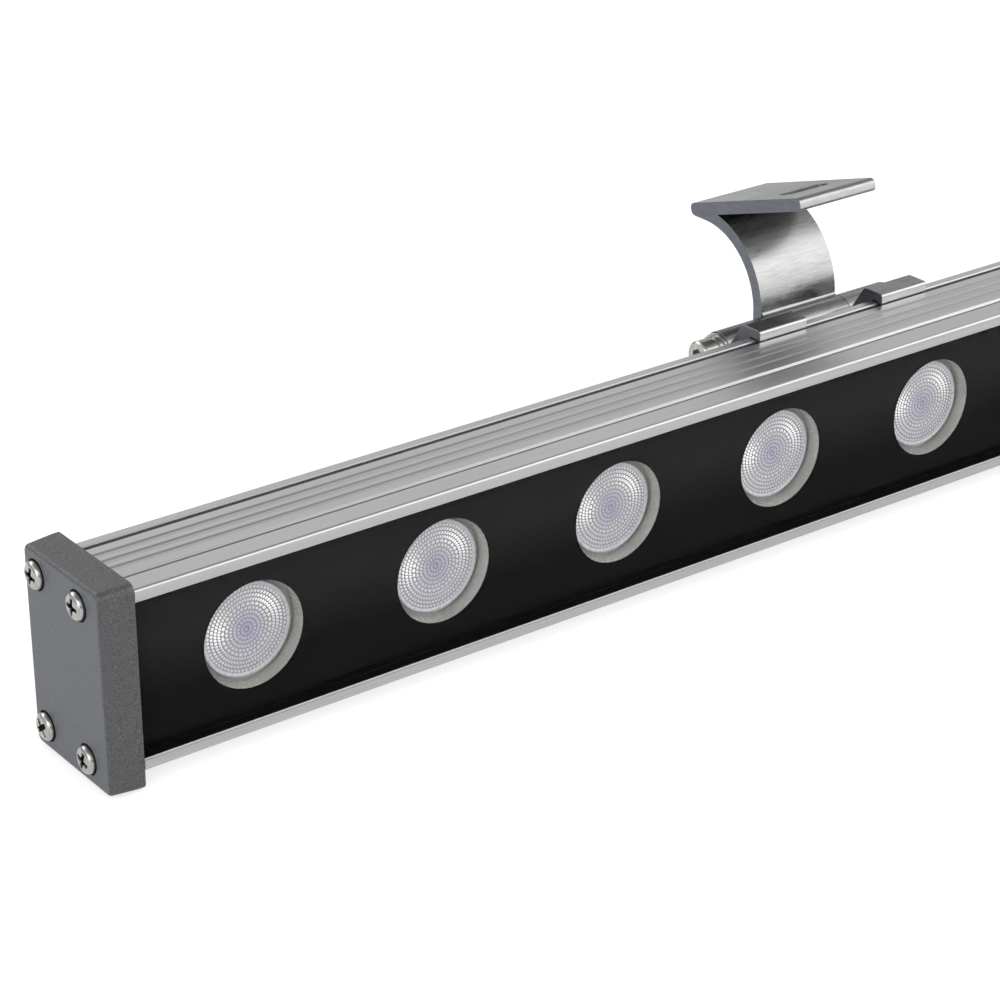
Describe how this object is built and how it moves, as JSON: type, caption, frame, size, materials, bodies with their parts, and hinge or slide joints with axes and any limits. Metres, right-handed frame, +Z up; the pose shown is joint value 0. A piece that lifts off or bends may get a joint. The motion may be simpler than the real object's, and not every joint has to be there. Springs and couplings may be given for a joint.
{
  "type": "linear floodlight",
  "caption": "Long extruded floodlight with round lensed windows behind dark glass, cast end caps, a cable gland and two clip-on mounting brackets that slide along and tilt.",
  "frame": {"origin": "under the middle of the whole object's box, on the surface that it stands on", "axes": "+X along the lamp towards the cable gland, -Y the way the glass faces, +Z up"},
  "size_m": [1.0226, 0.075, 0.0848],
  "materials": {
    "housing_aluminium": "satin anodised extrusion",
    "bracket_aluminium": "brushed extrusion",
    "clip_aluminium": "darker satin extrusion",
    "cap_paint": "fine textured dark grey powder coat",
    "front_glass": "clear, polished",
    "mask_black": "gloss black print behind the glass",
    "lens_clear": "clear beaded optic",
    "holder_grey": "smooth grey moulding",
    "board_white": "white solder resist",
    "led_yellow": "phosphor under a clear dome",
    "pad_grey": "soft thermal pad",
    "seal_black": "matt silicone",
    "sealant_clear": "clear silicone, satin",
    "screw_steel": "bright stainless steel",
    "wire_red": "smooth insulation",
    "driver_green": "green solder resist",
    "coil_black": "moulded ferrite case",
    "capacitor_blue": "heat-shrink sleeve",
    "terminal_green": "moulded terminal block",
    "gland_nylon": "moulded nylon"
  },
  "bodies": {
    "lamp": {"housing": "housing_aluminium", "glass_cover": "front_glass", "window_mask": "mask_black", "glass_bead": "sealant_clear", "glass_bed": "seal_black", "lens_holders": "holder_grey", "led_emitters": "led_yellow", "led_board_left": "board_white", "led_board_right": "board_white", "thermal_pad_left": "pad_grey", "thermal_pad_right": "pad_grey", "board_screws": "screw_steel", "driver_screws": "screw_steel", "board_links": "wire_red", "led_leads": "wire_red", "driver_board": "driver_green", "driver_coils": "coil_black", "driver_capacitors": "capacitor_blue", "output_terminal": "terminal_green", "supply_terminal": "terminal_green", "left_cap": "cap_paint", "right_cap": "cap_paint", "left_cap_gasket": "seal_black", "right_cap_gasket": "seal_black", "left_cap_screws": "screw_steel", "right_cap_screws": "screw_steel", "gland_body": "gland_nylon", "gland_nut": "gland_nylon", "gland_seal": "seal_black", "lens_01": "lens_clear", "lens_02": "lens_clear", "lens_03": "lens_clear", "lens_04": "lens_clear", "lens_05": "lens_clear", "lens_06": "lens_clear", "lens_07": "lens_clear", "lens_08": "lens_clear", "lens_09": "lens_clear", "lens_10": "lens_clear", "lens_11": "lens_clear", "lens_12": "lens_clear", "lens_13": "lens_clear", "lens_14": "lens_clear", "lens_15": "lens_clear", "lens_16": "lens_clear", "lens_17": "lens_clear", "lens_18": "lens_clear"},
    "left_clips": {"left_outer_clip": "clip_aluminium", "left_inner_clip": "clip_aluminium", "left_hinge_screw": "screw_steel", "left_hinge_washers": "screw_steel", "left_hinge_nut": "screw_steel"},
    "left_bracket": {"left_arm": "bracket_aluminium"},
    "right_clips": {"right_outer_clip": "clip_aluminium", "right_inner_clip": "clip_aluminium", "right_hinge_screw": "screw_steel", "right_hinge_washers": "screw_steel", "right_hinge_nut": "screw_steel"},
    "right_bracket": {"right_arm": "bracket_aluminium"}
  },
  "joints": [
    {"name": "left_bracket_slide", "type": "slide", "parent": "lamp", "child": "left_clips", "axis": [1, 0, 0], "range_m": [-0.2, 0.2]},
    {"name": "left_bracket_tilt", "type": "hinge", "parent": "left_clips", "child": "left_bracket", "pos_m": [-0.26455, 0.00499, 0.0423], "axis": [1, 0, 0], "range_deg": [-115, 55]},
    {"name": "right_bracket_slide", "type": "slide", "parent": "lamp", "child": "right_clips", "axis": [1, 0, 0], "range_m": [-0.2, 0.2]},
    {"name": "right_bracket_tilt", "type": "hinge", "parent": "right_clips", "child": "right_bracket", "pos_m": [0.24845, 0.00499, 0.0423], "axis": [1, 0, 0], "range_deg": [-115, 55]}
  ]
}
